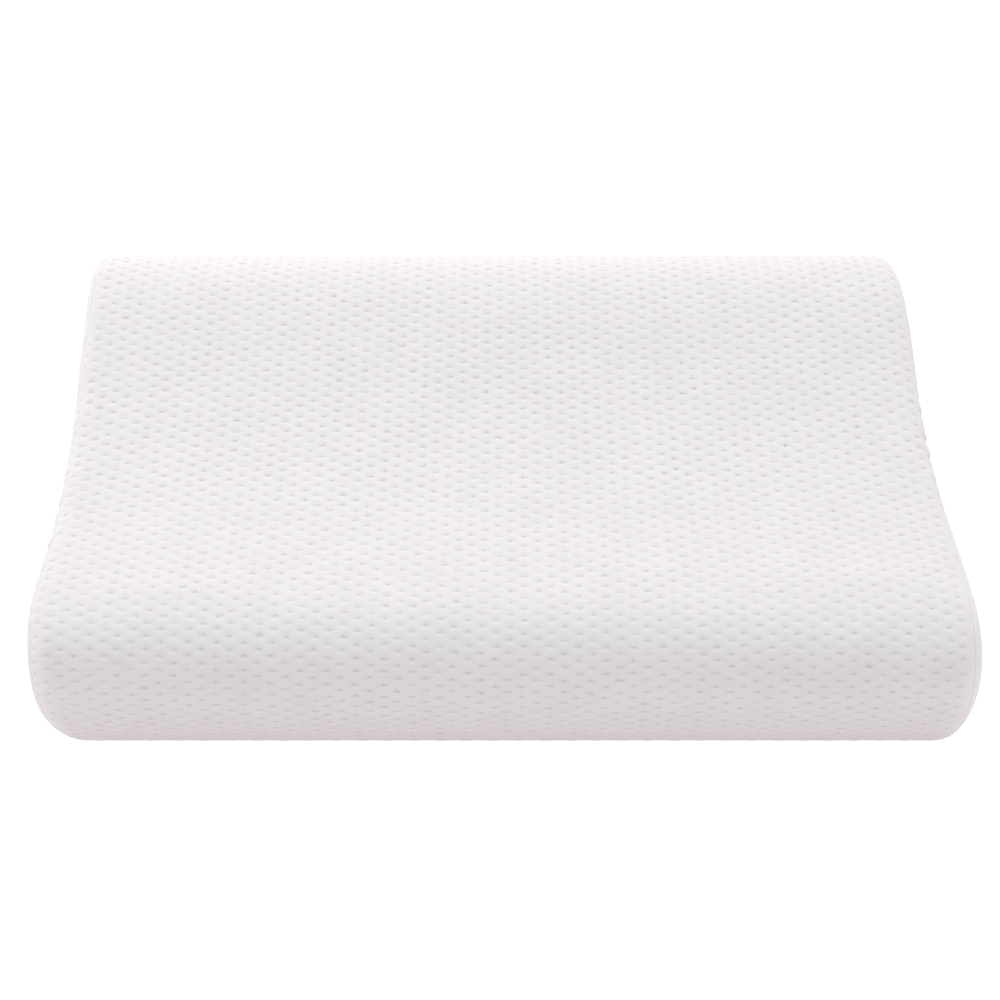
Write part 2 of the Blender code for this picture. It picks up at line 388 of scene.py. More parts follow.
def quiltRelief(column, row, draws):
    # Height in mm over the plain surface. The puff is minus the product of two cosines, one along
    # the columns and one along the rows, and each dimple takes off a bell curve, wider than it is
    # tall. Depth, width and place differ a little from dimple to dimple.
    height = -quilt["puff"] * np.cos(math.pi * column) * np.cos(math.pi * row)
    nearest = np.round(column)
    for step in (-1, 0, 1):
        atColumn = nearest + step
        odd = atColumn % 2
        atRow = 2.0 * np.round((row - odd) / 2.0) + odd
        drawColumn = (atColumn + quilt["drawColumns"] // 2).astype(int) % quilt["drawColumns"]
        varies = draws[drawColumn, atRow.astype(int) % quilt["rowsRound"]] - 0.5
        x = (column - atColumn) * quilt["columnPitch"] - quilt["pitMoves"] * varies[..., 0]
        y = (row - atRow) * quilt["rowPitch"] - quilt["pitMoves"] * varies[..., 1]
        wide = quilt["pitWide"] * (1.0 + quilt["wideVaries"] * varies[..., 2])
        depth = quilt["pitDepth"] * (1.0 + quilt["depthVaries"] * varies[..., 3])
        height -= depth * np.exp(-0.5 * (x / wide) ** 2 - 0.5 * (y / quilt["pitTall"]) ** 2)
    return height


# The small puckers along the seams. A stretch is where the sewn edge is drawn in and they are
# stronger: its middle and half length from front to back in mm, and by how many times.
gathers = {
    "height": 0.19,
    "lengths": (6.1, 9.7, 15.3),
    "shifts": (0.7, 0.3, 0.0),  # in waves, to opposite ways at the two ends
    "lean": 0.5,
    "unevenShare": 0.45,
    "unevenRadian": 37.0,  # mm along the seam for a radian of their slow unevenness
    "topHeights": (40.0, 60.0),  # the stretches come in between these heights
    "leftStretches": ((-40.0, 45.0, 2.3),),
    "rightStretches": ((12.0, 26.0, 2.3), (-85.0, 18.0, 1.2)),
    "nearest": 1.0,  # nearer to the seam than this they don't grow
    "wrapReach": 5.0,  # how far from the seam they fall to about a third
    "panelReach": 4.0,
}


def drawnInBy(y, stretches):
    # a bell curve from front to back for each stretch
    return sum(times * bellCurve(y, middle, half) for middle, half, times in stretches)


def seamGathers(around, fromSeam, side, reach):
    # three waves of unlike length along the seam that lean a little and die out away from it
    leaning = around + gathers["lean"] * fromSeam
    waves = sum(
        np.sin(2.0 * math.pi * (leaning / length + shift * side))
        for length, shift in zip(gathers["lengths"], gathers["shifts"])
    )
    y = readLoop("y", around)
    onRight, onLeft = (drawnInBy(y, gathers[name]) for name in ("rightStretches", "leftStretches"))
    onTop = smoothStep(readLoop("z", around), *gathers["topHeights"])
    drawnIn = 1.0 + np.where(side > 0, onRight, onLeft) * onTop
    slow = np.sin(around / gathers["unevenRadian"] + side)
    uneven = 1.0 - gathers["unevenShare"] + gathers["unevenShare"] * slow
    return gathers["height"] * waves * uneven * drawnIn * np.exp(-fromSeam / reach)


def squareCorners(values, closing=0):
    # The values at the four corners of each square between the rings. A ring closes: after its last
    # station comes its first one, with closing added.
    after = np.roll(values, -1, axis=1)
    after[:, -1] += closing
    return np.stack([values[:-1], after[:-1], after[1:], values[1:]], -1).reshape(-1, 4)


def tubeMesh(name, rings, poles, quiltPlace=None):
    # A closed surface from rings of points, each joined to the next, with a pole at both ends.
    # quiltPlace gives each point's column and row in the quilt, as two arrays, for the UV map.
    count, around = rings.shape[:2]
    index = np.arange(count * around).reshape(count, around)
    after = np.roll(index, -1, axis=1)
    quads = squareCorners(index)
    firstPole = np.full(around, count * around)
    fans = np.concatenate([
        np.stack([after[0], index[0], firstPole], -1),
        np.stack([index[-1], after[-1], firstPole + 1], -1),
    ])
    points = np.concatenate([rings.reshape(-1, 3), poles]) * mm
    # about six times the signed volume: below nothing, the faces point inwards and are turned round
    a, b, c, d = (points[quads[:, n]] for n in range(4))
    volume = np.einsum("ij,ij->", a, np.cross(b, c)) + np.einsum("ij,ij->", a, np.cross(c, d))
    order = -1 if volume < 0 else 1
    quads, fans = quads[:, ::order], fans[:, ::order]
    corners = np.concatenate([quads.ravel(), fans.ravel()])
    starts = np.concatenate([np.arange(len(quads)) * 4, quads.size + np.arange(len(fans)) * 3])
    mesh = bpy.data.meshes.new(name)
    mesh.vertices.add(len(points))
    mesh.vertices.foreach_set("co", points.astype(np.float32).ravel())
    mesh.loops.add(len(corners))
    mesh.loops.foreach_set("vertex_index", corners.astype(np.int32))
    mesh.polygons.add(len(starts))
    mesh.polygons.foreach_set("loop_start", starts.astype(np.int32))
    mesh.update(calc_edges=True)
    mesh.shade_smooth()
    if quiltPlace:
        column, row = quiltPlace
        uv = np.zeros((len(corners), 2), np.float32)
        uv[: quads.size, 0] = squareCorners(column)[:, ::order].ravel()
        uv[: quads.size, 1] = squareCorners(row, quilt["rowsRound"])[:, ::order].ravel()
        mesh.uv_layers.new(name="quiltPlace").data.foreach_set("uv", uv.ravel())
    return addObject(name, mesh)


# The cover is blown against its seams by a short cloth simulation on a coarse copy. Its foam core
# holds it back unevenly, as a core does, and only the swelling along the surface's own outward
# direction is kept, less than a millimetre of it.
coverFill = {
    "around": 96,
    "across": 60,
    "faceShares": (0.2, 0.4, 0.6, 0.8),
    "turnRings": 3,  # from the end face's rim to the seam
    "frames": 20,
    "core": 0.28,  # how firmly the core holds the cloth, from 0 to 1
    "coreUneven": 0.045,
    "coreWaves": 14,
    "waveLengths": (48.0, 120.0),  # mm, the shortest and the longest
    "seed": 5,
    "holdLimits": (0.05, 0.95),
    "onFloor": 1.0,  # what lies lower than this is held by the floor
    "leastSwell": 0.05,  # mm; less than this counts as held
    "mostSwell": 1.6,
    "lipFade": 8.0,  # the swelling comes in over this distance from the seam's lip
}
fillCloth = {
    "quality": 6,
    "mass": 0.3,
    "tension_stiffness": 15.0,
    "compression_stiffness": 15.0,
    "bending_stiffness": 0.5,
    "use_pressure": True,
    "uniform_pressure_force": 4.0,
    "vertex_group_mass": "held",
}
endRings = len(coverFill["faceShares"]) + coverFill["turnRings"]


def coreHold(rings):
    # Waves of random direction, length and phase across and round the pillow, added up and spread
    # about the core's level hold. Round the pillow each makes a whole number of turns.
    rng = np.random.default_rng(coverFill["seed"])
    across = rings[..., 0]
    turns = np.broadcast_to(np.arange(rings.shape[1])[None, :] / rings.shape[1], across.shape)
    total = np.zeros(across.shape)
    shortest, longest = coverFill["waveLengths"]
    for _ in range(coverFill["coreWaves"]):
        length = shortest + (longest - shortest) * rng.random()
        heading = math.pi * rng.random()
        whole = np.round(loopLength / length * math.sin(heading))
        phase = across / length * math.cos(heading) + whole * turns + rng.random()
        total += np.cos(2.0 * math.pi * phase)
    return coverFill["core"] + coverFill["coreUneven"] * total / math.sqrt(coverFill["coreWaves"] / 2.0)


def coarseRings():
    # rings from the left end's middle to the right end's middle, and each ring's outward direction
    around = np.arange(coverFill["around"]) * loopLength / coverFill["around"]
    ends = {}
    for side in (-1.0, 1.0):
        seam = sideValues(around, side)[2]
        ends[side] = [faceRing(around, side, share) for share in coverFill["faceShares"]]
        for step in range(coverFill["turnRings"], 0, -1):
            angle = seam + (quarterTurn - seam) * (step / coverFill["turnRings"])
            ends[side].append(roundingRing(around, side, angle))
    left, right = seamAcross(around, -1.0), seamAcross(around, 1.0)
    wrap = [
        coverPoint(left + (right - left) * part, around)
        for part in np.linspace(0.0, 1.0, coverFill["across"] + 1)
    ]
    rings = ends[-1.0] + wrap + ends[1.0][::-1]
    return np.array([ring[0] for ring in rings]), np.array([ring[1] for ring in rings])


def simulateFill():
    # The coarse copy is blown up, held at the seams, on the floor and by its core. Its swelling is
    # the share of each point's way that goes outwards.
    rings, outward = coarseRings()
    poles = np.array([faceMiddle(-1.0), faceMiddle(1.0)])
    shell = tubeMesh("fillTrial", rings, poles)
    hold = np.clip(coreHold(rings), *coverFill["holdLimits"])
    hold[[endRings, -endRings - 1]] = 1.0
    hold[rings[..., 2] < coverFill["onFloor"]] = 1.0
    levels = np.round(hold.ravel(), 2)
    group = shell.vertex_groups.new(name=fillCloth["vertex_group_mass"])
    for level in np.unique(levels):
        group.add(np.flatnonzero(levels == level).tolist(), float(level), "REPLACE")
    cloth = shell.modifiers.new("fill", "CLOTH")
    for name, value in fillCloth.items():
        setattr(cloth.settings, name, value)
    cloth.settings.effector_weights.gravity = 0.0
    cloth.collision_settings.use_collision = False
    scene = bpy.context.scene
    for step in range(1, coverFill["frames"] + 1):
        scene.frame_set(step)
    settled = shell.evaluated_get(bpy.context.evaluated_depsgraph_get()).to_mesh()
    points = np.empty(len(settled.vertices) * 3, np.float32)
    settled.vertices.foreach_get("co", points)
    moved = points.reshape(-1, 3)[: -len(poles)].reshape(rings.shape) / mm - rings
    scene.frame_set(1)
    bpy.data.objects.remove(shell, do_unlink=True)
    swell = np.einsum("nak,nak->na", moved, outward)
    print("fill simulated: swelling from", round(float(swell.min()), 2), "to", round(float(swell.max()), 2))
    return swell


def keptSwell():
    # The swelling less its own median, softly capped by a hyperbolic tangent, so that the pillow
    # keeps its size. It is nothing at the seams and where the pillow lies on the floor.
    swell = simulateFill()
    most = coverFill["mostSwell"]
    swollen = swell > coverFill["leastSwell"]
    typical = np.median(swell[swollen])
    relative = np.where(swollen, swell - typical * smoothStep(swell, 0.0, typical), swell)
    return most * np.tanh(relative / most)


def bSpline(distance):
    # two thirds - d squared + half d cubed inside one step, (2 - d) cubed over six up to two
    far = np.abs(distance)
    near = 2.0 / 3.0 - far**2 + 0.5 * far**3
    return np.where(far < 1.0, near, np.clip(2.0 - far, 0.0, None) ** 3 / 6.0)


def readSwell(ring, around):
    # a cubic B-spline over the coarse values: four by four neighbours, closed round the pillow
    ring, station = np.broadcast_arrays(ring, around / loopLength * coverFill["around"])
    total = np.zeros(ring.shape)
    ringBefore, stationBefore = np.floor(ring), np.floor(station)
    for ringStep in (-1, 0, 1, 2):
        ringWeight = bSpline(ring - ringBefore - ringStep)
        atRing = np.clip(ringBefore + ringStep, 0, len(swell) - 1).astype(int)
        for step in (-1, 0, 1, 2):
            weight = ringWeight * bSpline(station - stationBefore - step)
            total += weight * swell[atRing, (stationBefore + step).astype(int) % coverFill["around"]]
    return total


swell = keptSwell()

# Where the foam stands a little proud of its even form: each lump's middle across and from front to
# back, its length and width and its height, all in mm.
lumps = {
    "rightRise": (197.0, -92.0, 30.0, 12.0, 1.3),
    "leftRise": (-172.0, -98.0, 35.0, 9.0, 0.8),
    "leftNose": (-228.0, -128.0, 14.0, 12.0, 0.7),
}


def wrapSwell(across, around):
    # the simulated swelling, and each lump as a bell curve across times one from front to back
    left, right = seamAcross(around, -1.0), seamAcross(around, 1.0)
    share = np.clip((across - left) / (right - left), 0.0, 1.0)
    total = readSwell(endRings + share * coverFill["across"], around)
    y = readLoop("y", around)
    for middle, middleY, long, wide, height in lumps.values():
        total += height * bellCurve(across, middle, long) * bellCurve(y, middleY, wide)
    return total


def faceSwell(side, depth, around):
    # depth is 0 at the end face's middle, 1 at its rim and 2 at the seam
    depths = (*coverFill["faceShares"], *np.linspace(1.0, 2.0, coverFill["turnRings"] + 1))
    ring = np.interp(depth, depths, np.arange(len(depths)))
    return readSwell(len(swell) - 1 - ring if side > 0 else ring, around)


def grooveDepth(fromSeam):
    # a quarter circle turned down: nothing at the lip, the whole depth at the seam
    share = 1.0 - np.clip(fromSeam / pillow["seamHalfWidth"], 0.0, 1.0)
    return pillow["seamDepth"] * (1.0 - np.sqrt(1.0 - share**2))


def quiltRows():
    # two mesh rows to a quilt row where it shows, and one to two of them on the flat underside
    first, last = (int(math.floor(value)) for value in rowStations())
    last += 1
    return np.concatenate([np.arange(first, last, 0.5), np.arange(last, first + quilt["rowsRound"], 2.0)])


def sewnEnd(around, side, standsFree):
    # Rings from the seam's lip down into its groove, then over the filled body under the end panel,
    # up to the rim and on to half the end face's size.
    _, _, seam = sideValues(around, side)
    puckers = seamGathers(around, gathers["nearest"], side, gathers["wrapReach"]) * standsFree
    stack = []
    for part in pillow["grooveRings"]:
        fromSeam = pillow["seamHalfWidth"] * part
        across = seamAcross(around, side) - side * fromSeam
        ring, out = coverPoint(across, around, grooveDepth(fromSeam))
        stack.append(ring + out * puckers[:, None])
    for part in (0.0, 0.5, 1.0):
        angle = seam + (quarterTurn - seam) * part
        stack.append(roundingRing(around, side, angle, pillow["underPanel"])[0])
    stack.append(faceRing(around, side, 0.5, pillow["underPanel"])[0])
    return np.array(stack)


def makeWrapCover():
    # The grid's lines are the quilt's columns and rows. Every point is the plain cover's own, moved
    # outwards by the quilt's relief, the seams' puckers and the swelling.
    rng = np.random.default_rng(quilt["seed"])
    draws = rng.random((quilt["drawColumns"], quilt["rowsRound"], 4))
    rows = quiltRows()[None, :]
    first, last = quilt["columns"]
    columns = np.linspace(first, last, (last - first) * quilt["cellsPerColumn"] + 1)[:, None]
    around = aroundOf(rows + rowWander(columns, rows))
    across = acrossOf(columns, rows)
    lip = {side: seamAcross(around, side) - side * pillow["seamHalfWidth"] for side in (-1.0, 1.0)}
    cells = quilt["seamCells"]
    share = np.linspace(0.0, 1.0, cells + 1)[:, None]
    # next to each seam the cells are spaced evenly from the seam's lip to the first free column
    across[: cells + 1] = lip[-1.0][: cells + 1] * (1.0 - share) + across[cells] * share
    across[-cells - 1 :] = across[-cells - 1] * (1.0 - share) + lip[1.0][-cells - 1 :] * share
    column = columnOf(across, rows)
    fromLip = np.minimum(across - lip[-1.0], lip[1.0] - across)
    side = np.where(across < 0, -1.0, 1.0)
    point, outward = coverPoint(across, around)
    standsFree = freeOfFloor(point[..., 2])
    relief = quiltRelief(column, rows, draws)
    relief *= smoothStep(fromLip, *quilt["lipFade"]) * smoothStep(point[..., 2], *quilt["floorFade"])
    fromSeam = fromLip + pillow["seamHalfWidth"]
    relief += seamGathers(around, fromSeam, side, gathers["wrapReach"]) * standsFree
    relief += wrapSwell(across, around) * standsFree * smoothStep(fromLip, 0.0, coverFill["lipFade"])
    left = sewnEnd(around[0], -1.0, standsFree[0])
    right = sewnEnd(around[-1], 1.0, standsFree[-1])
    rings = np.concatenate([left[::-1], point + outward * relief[..., None], right])
    rings[..., 2] = np.maximum(rings[..., 2], 0.0)
    sewn = ((len(left), len(right)), (0, 0))
    allColumns = np.pad(column, sewn, mode="edge")
    allRows = np.repeat(rows, len(rings), axis=0)
    poles = np.array([faceMiddle(side, pillow["underPanel"]) for side in (-1.0, 1.0)])
    cover = tubeMesh("wrapCover", rings, poles, (allColumns, allRows))
    fade = np.pad(smoothStep(fromLip, *quilt["markFade"]), sewn).ravel()
    clearOfSeam = cover.data.attributes.new("clearOfSeam", "FLOAT", "POINT")
    clearOfSeam.data.foreach_set("value", np.append(fade, [0.0, 0.0]).astype(np.float32))
    return cover


wrapCover = makeWrapCover()
print("wrap cover made:", len(wrapCover.data.polygons), "faces")

# The end panels are cut from plain knit and sewn to the wrap all round.
endPanel = {
    "around": 360,
    "faceRings": 16,
    "roundRings": 10,
    "innerRings": 5,
    "seamGap": 0.3,
    "swellFade": (1.3, 2.0),  # the swelling dies out between these depths
    "mostSink": 0.3,
    "farFromSeam": 1000.0,  # on the face, where no pucker reaches
}


def panelFace(around, side, shares, sunk=0.0):
    # for each ring its points, outward direction, depth and way from the seam
    far = endPanel["farFromSeam"]
    return [(*faceRing(around, side, share, sunk), np.full(len(around), share), far) for share in shares]


def makeEndPanel(name, side):
    # Rings from the outer face's middle over its rim down into the seam, then back under them on the
    # inner face, each moved outwards by the swelling and the seam's puckers. A ring's depth is 0 at
    # the face's middle, 1 at its rim and 2 at the seam.
    around = np.arange(endPanel["around"]) * loopLength / endPanel["around"]
    rounding, _, seam = sideValues(around, side)
    edge = seam + endPanel["seamGap"] / rounding
    lip = seam + pillow["seamHalfWidth"] / rounding
    thick = pillow["panelThickness"]
    stack = panelFace(around, side, np.linspace(0.0, 1.0, endPanel["faceRings"] + 1)[1:-1])
    for part in np.linspace(0.0, 1.0, endPanel["roundRings"] + 1):
        angle = quarterTurn + (lip - quarterTurn) * part
        depth = 1.0 + part * (quarterTurn - lip) / (quarterTurn - seam)
        stack.append((*roundingRing(around, side, angle), depth, rounding * (angle - seam)))
    for part in pillow["grooveRings"]:
        fromSeam = endPanel["seamGap"] + (pillow["seamHalfWidth"] - endPanel["seamGap"]) * part
        sunk = grooveDepth(pillow["seamHalfWidth"] * part)
        ring, out = roundingRing(around, side, seam + fromSeam / rounding, sunk)
        stack.append((ring, out, np.full(len(around), 2.0), fromSeam))
    for part in np.linspace(0.0, 1.0, endPanel["innerRings"] + 1):
        angle = edge + (quarterTurn - edge) * part
        depth = 2.0 - part * (quarterTurn - edge) / (quarterTurn - seam)
        stack.append((*roundingRing(around, side, angle, thick), depth, rounding * (angle - seam)))
    stack += panelFace(around, side, np.linspace(1.0, 0.0, endPanel["innerRings"] + 1)[1:-1], thick)
    rings = []
    for ring, out, depth, fromSeam in stack:
        standsFree = freeOfFloor(ring[:, 2])
        rise = faceSwell(side, depth, around) * (1.0 - smoothStep(depth, *endPanel["swellFade"]))
        rise = np.maximum(rise, -endPanel["mostSink"]) * standsFree
        fromSeam = np.maximum(fromSeam, gathers["nearest"])
        rise += seamGathers(around, fromSeam, side, gathers["panelReach"]) * standsFree
        rings.append(ring + out * rise[:, None])
    rings = np.array(rings)
    rings[..., 2] = np.maximum(rings[..., 2], 0.0)
    poles = np.array([faceMiddle(side), faceMiddle(side, thick)])
    poles[:, 0] = rings[0][:, 0].mean(), rings[-1][:, 0].mean()
    return tubeMesh(name, rings, poles)


endPanelLeft = makeEndPanel("endPanelLeft", -1.0)
endPanelRight = makeEndPanel("endPanelRight", 1.0)
print("end panels made:", len(endPanelLeft.data.polygons), "faces each")


def linearColour(hexText):
    # each pair of sRGB hex digits as a share of 255, turned linear by the sRGB curve
    shares = [int(hexText[n : n + 2], 16) / 255.0 for n in (1, 3, 5)]
    return (*(c / 12.92 if c <= 0.04045 else ((c + 0.055) / 1.055) ** 2.4 for c in shares), 1.0)


def addNode(tree, kind, inputs=(), **settings):
    # Adds one node. The inputs come in order, or by name or number, and each takes a value, a
    # socket, or a node, whose first output is then used. 6 and 7 are a Mix node's two colours.
    node = tree.nodes.new("ShaderNode" + kind)
    for name, value in settings.items():
        setattr(node, name, value)
    for key, value in inputs.items() if isinstance(inputs, dict) else enumerate(inputs):
        if isinstance(value, bpy.types.Node):
            value = value.outputs[0]
        if isinstance(value, bpy.types.NodeSocket):
            tree.links.new(value, node.inputs[key])
        else:
            node.inputs[key].default_value = value
    return node


def startMaterial(name):
    # the material, and addNode for its own tree
    material = bpy.data.materials.new(name)
    material.use_nodes = True
    return material, partial(addNode, material.node_tree)


def mottledWhite(add, coordinates, cloth):
    # slow, faint changes of tone between the cloth's two whites
    scale = 1.0 / (cloth["mottleSize"] * mm)
    inputs = {"Vector": coordinates.outputs["Object"], "Scale": scale, "Detail": 3.0, "Roughness": 0.55}
    mottle = add("TexNoise", inputs)
    offWhite, white = (linearColour(cloth[name]) for name in ("offWhite", "white"))
    return add("Mix", {"Factor": mottle.outputs[0], 6: offWhite, 7: white}, data_type="RGBA")


# both knits are matt and softly fuzzy
knitFinish = {"Roughness": 0.9, "Specular IOR Level": 0.25, "Sheen Weight": 0.25, "Sheen Roughness": 0.5}


def finishKnit(material, add, cloth, colour, relief):
    # the colour, the relief as bump as high as the cloth's ribs, and what is even all over
    height = cloth["ribHeight"] * mm
    bump = add("Bump", {"Strength": cloth["bumpStrength"], "Distance": height, "Height": relief})
    shader = material.node_tree.nodes["Principled BSDF"]
    material.node_tree.links.new(colour.outputs[2], shader.inputs["Base Color"])
    material.node_tree.links.new(bump.outputs[0], shader.inputs["Normal"])
    for name, value in knitFinish.items():
        shader.inputs[name].default_value = value
    return material


# Bleached polyester double knit, quilted on the machine: painted grey shade where a tuck pulls the face
# yarns together into a hollow. A dimple's marks are the gaps between its tucked loops, short painted
# shade strokes of uneven strength, with painted highlight on the yarn between them on the side of the
# front.
doubleKnit = {
    "white": "#F0EDEE",
    "offWhite": "#E8E5E6",
    "mottleSize": 22.2,  # mm
    # the painted highlight on the yarn beside the loops
    "paintedYarnHighlight": "#FFFDFD",
    # the painted shade in the tuck's hollow
    "paintedDimpleShade": "#B3ACAD",
    # the painted shade of the strokes at the tucked loops
    "paintedLoopShade": "#8E8788",
    "marksMove": (1.4, 1.0),  # mm, the range of each dimple's marks across and along
    "weakestMarks": 0.8,  # how strong a dimple's marks are at least, and how much that varies
    "marksVary": 0.4,
    "tuckWide": 2.1,  # mm, the tuck's soft shade
    "tuckTall": 0.55,
    "tuckShade": 0.22,
    "loopSpacing": 1.22,  # mm between the tucked loops
    "loopWide": 1.8,  # mm, how far across they show
    "loopTall": 0.95,
    "loopAside": 0.2,  # mm, the loops on one side show more
    "loopMoves": 0.9,  # mm, the range over which each lies higher or lower
    "loopSharpness": 1.6,
    "weakestLoop": 0.4,
    "loopsVary": 0.8,
    "loopShade": 0.46,
    "litBelow": 1.25,  # mm from the dimple's middle to the lit yarn
    "litTall": 0.7,
    "litShare": 0.55,
    # the painted shade and highlight are at full strength behind this span and at the share below in front
    # of it
    "weakerFront": (-60.0, 0.0),  # mm from front to back, over the high lobe and behind it
    "weakerFrontShare": 0.84,
    "waleSpacing": 0.88,  # mm between the face's ribs, coarser than the real ones so that they show
    "courseShare": 0.35,  # how high the courses are beside the ribs, and the fuzz
    "fuzzShare": 1.2,
    "fuzzSize": 1.111,  # mm
    "loopPress": 5.0,  # how deep the loops are pressed in, in the ribs' heights
    "ribHeight": 0.04,  # mm
    "bumpStrength": 0.35,
}


def nearestDimple(add, column, row):
    # the nearest column, then the nearest row that holds a dimple in it
    atColumn = add("Math", (column,), operation="ROUND")
    odd = add("Math", (atColumn, 2.0), operation="FLOORED_MODULO")
    shifted = add("Math", (row, odd), operation="SUBTRACT")
    halved = add("Math", (shifted, 0.5), operation="MULTIPLY")
    rounded = add("Math", (halved,), operation="ROUND")
    atRow = add("Math", (rounded, 2.0, odd), operation="MULTIPLY_ADD")
    return atColumn, atRow


def bellShade(add, x, wide, y, tall):
    # e to the power of minus the sum of both squares, each way counted in its own width
    acrossBell = add("Math", (x, 1.0 / wide), operation="MULTIPLY")
    alongBell = add("Math", (y, 1.0 / tall), operation="MULTIPLY")
    square = add("Math", (acrossBell, acrossBell), operation="MULTIPLY")
    both = add("Math", (alongBell, alongBell, square), operation="MULTIPLY_ADD")
    negative = add("Math", (both, -1.0), operation="MULTIPLY")
    return add("Math", (negative,), operation="EXPONENT")


def doubleKnitMaterial():
    knit = doubleKnit
    material, add = startMaterial("bleachedDoubleKnit")
    place = add("UVMap", uv_map="quiltPlace")
    parts = add("SeparateXYZ", (place,))
    column, row = parts.outputs[0], parts.outputs[1]
    atColumn, atRow = nearestDimple(add, column, row)
    cell = add("CombineXYZ", (atColumn, atRow))
    draw = add("TexWhiteNoise", {"Vector": cell}, noise_dimensions="2D")
    draws = add("SeparateColor", (draw.outputs["Color"],)).outputs
    # the way from that dimple in mm, each dimple's marks moved a little
    ways = []
    for at, nearest, pitch, moves, own in (
        (column, atColumn, quilt["columnPitch"], knit["marksMove"][0], draws[0]),
        (row, atRow, quilt["rowPitch"], knit["marksMove"][1], draws[1]),
    ):
        off = add("Math", (at, nearest), operation="SUBTRACT")
        moved = add("Math", (own, moves, -moves / 2.0), operation="MULTIPLY_ADD")
        ways.append(add("Math", (off, pitch, moved), operation="MULTIPLY_ADD"))
    x, y = ways
    # soft shade of the tuck, wider than tall
    paintedTuckShade = bellShade(add, x, knit["tuckWide"], y, knit["tuckTall"])
    # the painted shade strokes at the tucked loops: a raised cosine across each, drawn strong or weak and
    # higher or lower
    steps = add("Math", (x, 1.0 / knit["loopSpacing"]), operation="MULTIPLY")
    loopNumber = add("Math", (steps,), operation="ROUND")
    loopCell = add("CombineXYZ", (atColumn, atRow, loopNumber))
    loopDraw = add("TexWhiteNoise", {"Vector": loopCell}, noise_dimensions="3D")
    loopDraws = add("SeparateColor", (loopDraw.outputs["Color"],)).outputs
    turn = add("Math", (steps, 2.0 * math.pi), operation="MULTIPLY")
    wave = add("Math", (turn,), operation="COSINE")
    onLoop = add("Math", (wave, 0.5, 0.5), operation="MULTIPLY_ADD")
    offLoop = add("Math", (wave, -0.5, 0.5), operation="MULTIPLY_ADD")
    stroke = add("Math", (onLoop, knit["loopSharpness"]), operation="POWER")
    aside = add("Math", (x, -knit["loopAside"]), operation="ADD")
    inputs = (loopDraws[0], knit["loopMoves"], -knit["loopMoves"] / 2.0)
    lower = add("Math", inputs, operation="MULTIPLY_ADD")
    loopY = add("Math", (y, lower), operation="ADD")
    loopBell = bellShade(add, aside, knit["loopWide"], loopY, knit["loopTall"])
    loops = add("Math", (stroke, loopBell), operation="MULTIPLY")
    inputs = (loopDraws[1], knit["loopsVary"], knit["weakestLoop"])
    loopDrawn = add("Math", inputs, operation="MULTIPLY_ADD")
    unevenLoopShade = add("Math", (loops, loopDrawn), operation="MULTIPLY")
    # painted highlight on the yarn between the loops, on the side of the front
    litY = add("Math", (y, -knit["litBelow"]), operation="ADD")
    litBell = bellShade(add, aside, knit["loopWide"], litY, knit["litTall"])
    paintedYarnHighlight = add("Math", (litBell, offLoop), operation="MULTIPLY")
    # no marks in the seam, each dimple's own strength, and fainter painted shade and highlight towards the
    # front, over the high lobe
    coordinates = add("TexCoord")
    xyz = add("SeparateXYZ", (coordinates.outputs["Object"],))
    front, back = (value * mm for value in knit["weakerFront"])
    inputs = (xyz.outputs[1], front, back, knit["weakerFrontShare"], 1.0)
    frontWeakening = add("MapRange", inputs, interpolation_type="SMOOTHSTEP")
    clear = add("Attribute", attribute_name="clearOfSeam")
    drawn = add("Math", (draws[2], knit["marksVary"], knit["weakestMarks"]), operation="MULTIPLY_ADD")
    weakerFront = add("Math", (drawn, frontWeakening), operation="MULTIPLY")
    strength = add("Math", (weakerFront, clear.outputs["Fac"]), operation="MULTIPLY")
    # the painted highlight and shades lie over the mottled white one after the other; the last share is the
    # loops'
    colour = mottledWhite(add, coordinates, knit)
    for mark, most, paint in (
        (paintedYarnHighlight, "litShare", "paintedYarnHighlight"),
        (paintedTuckShade, "tuckShade", "paintedDimpleShade"),
        (unevenLoopShade, "loopShade", "paintedLoopShade"),
    ):
        amount = add("Math", (strength, knit[most]), operation="MULTIPLY")
        share = add("Math", (mark, amount), operation="MULTIPLY", use_clamp=True)
        inputs = {"Factor": share, 6: colour.outputs[2], 7: linearColour(knit[paint])}
        colour = add("Mix", inputs, data_type="RGBA")
    # the face's fine ribs and courses, pressed a little deeper at each tucked loop
    waleTurn = 2.0 * math.pi * quilt["columnPitch"] / knit["waleSpacing"]
    courseTurn = 2.0 * math.pi * quilt["rowPitch"] / knit["waleSpacing"]
    wales = add("Math", (column, waleTurn), operation="MULTIPLY")
    courses = add("Math", (row, courseTurn), operation="MULTIPLY")
    waleWave = add("Math", (wales,), operation="COSINE")
    courseWave = add("Math", (courses,), operation="SINE")
    weave = add("Math", (courseWave, knit["courseShare"], waleWave), operation="MULTIPLY_ADD")
    fuzzScale = 1.0 / (knit["fuzzSize"] * mm)
    fuzz = add("TexNoise", {"Vector": coordinates.outputs["Object"], "Scale": fuzzScale, "Detail": 2.0})
    fuzzed = add("Math", (fuzz, knit["fuzzShare"], weave), operation="MULTIPLY_ADD")
    pressed = add("Math", (share, -knit["loopPress"], fuzzed), operation="MULTIPLY_ADD")
    return finishKnit(material, add, knit, colour, pressed)


# The end panels' bleached single jersey, with fine upright ribs and no quilt.
jersey = {
    "white": "#EEEDEF",
    "offWhite": "#E9E8EA",
    "mottleSize": 16.67,  # mm
    "ribSpacing": 1.1,  # mm, coarser than the real ones so that they show
    "courseCrowding": 1.2,  # courses to a rib's spacing, and how high they are beside the ribs
    "courseShare": 0.5,
    "ribHeight": 0.06,  # mm
    "bumpStrength": 0.3,
}


